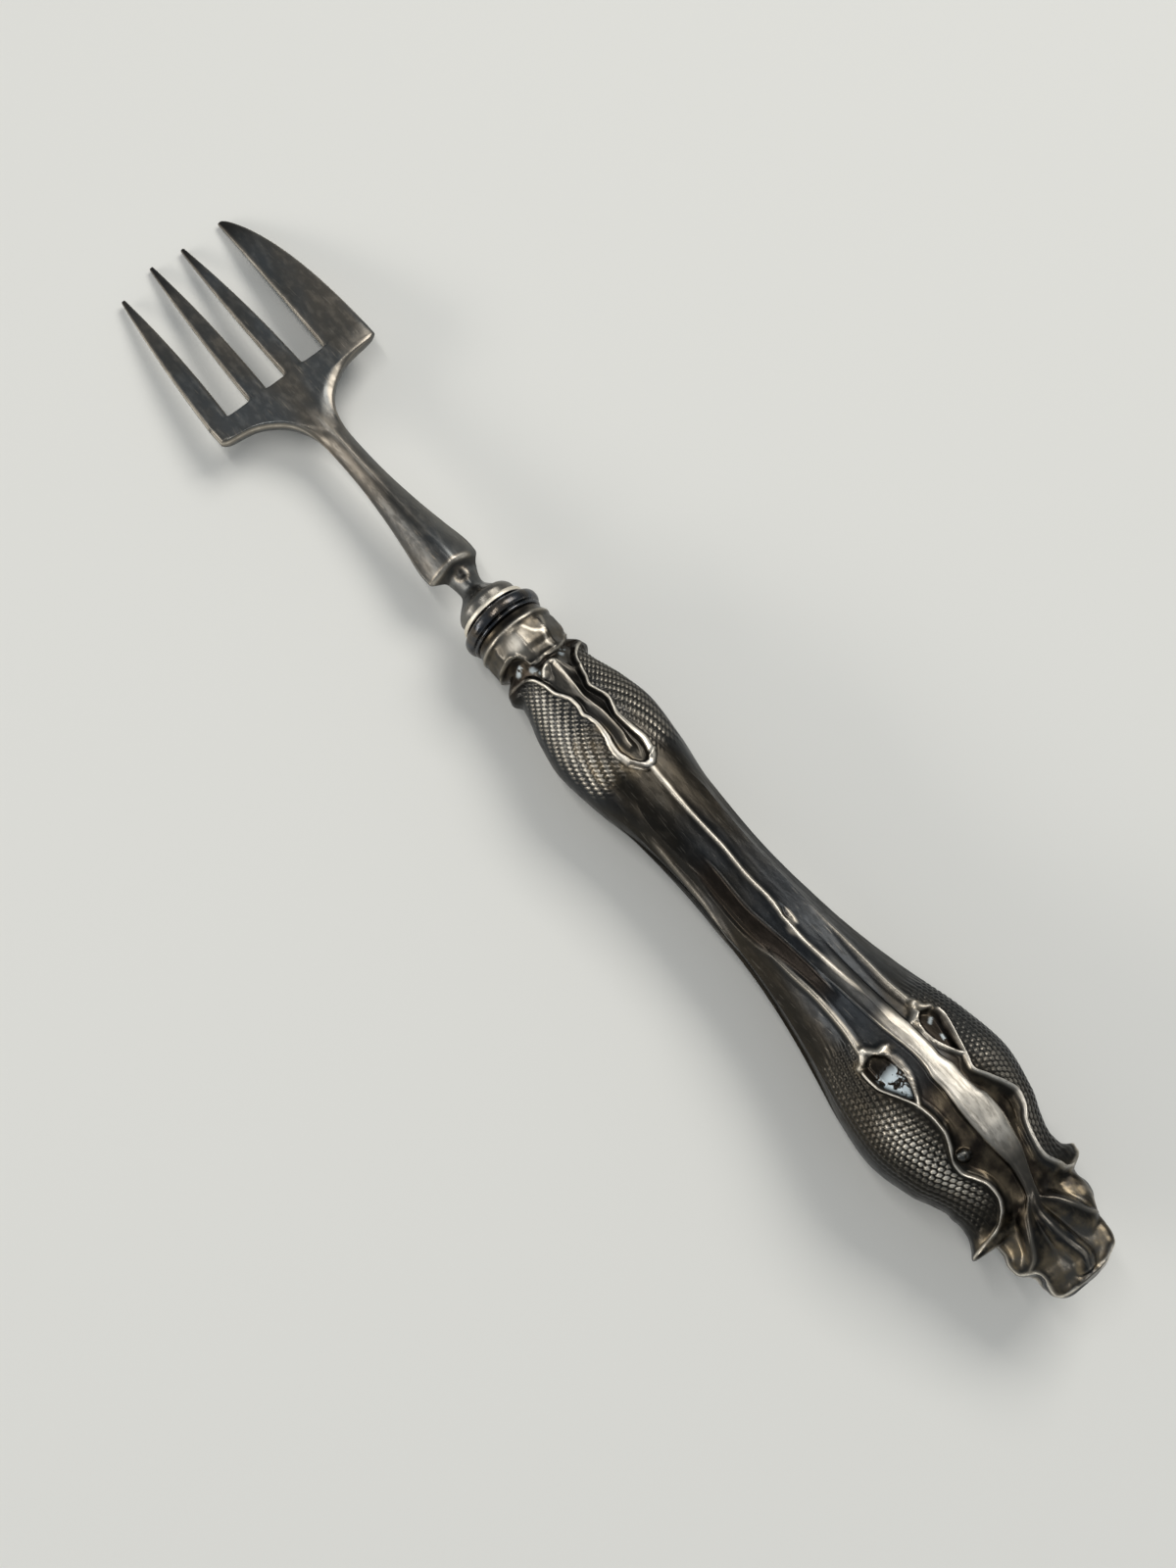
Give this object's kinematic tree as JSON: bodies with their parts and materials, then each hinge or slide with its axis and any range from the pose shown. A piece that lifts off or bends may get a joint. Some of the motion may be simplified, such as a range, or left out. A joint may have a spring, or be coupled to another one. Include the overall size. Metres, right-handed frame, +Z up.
{
  "type": "oyster fork",
  "caption": "Small tined fork with one broad cutting tine and an ornamented hollow handle, lying face down; spears and cuts oysters, fish or pastry at table.",
  "frame": {"origin": "centre of the bounding box at the table surface on which the fork lies face down", "axes": "+X along the fork from the handle's end towards the tips of the tines, +Z up from the table, -Y on the side of the broad tine"},
  "size_m": [0.1478, 0.0212, 0.0162],
  "materials": {
    "fork_metal": "plated metal, dark grey-brown tarnish, fine scratches, pale worn edges",
    "ferrule_metal": "turned silver, black in the groove, bright on the narrow bead",
    "handle_silver": "stamped silver, black in the recesses, pale cream where the relief is worn",
    "filler_pitch": "dull brown cast pitch"
  },
  "bodies": {
    "root": {"fork_blank": "fork_metal", "ferrule_ring": "ferrule_metal", "handle_back_shell": "handle_silver", "handle_front_shell": "handle_silver", "handle_filler": "filler_pitch"}
  },
  "joints": []
}
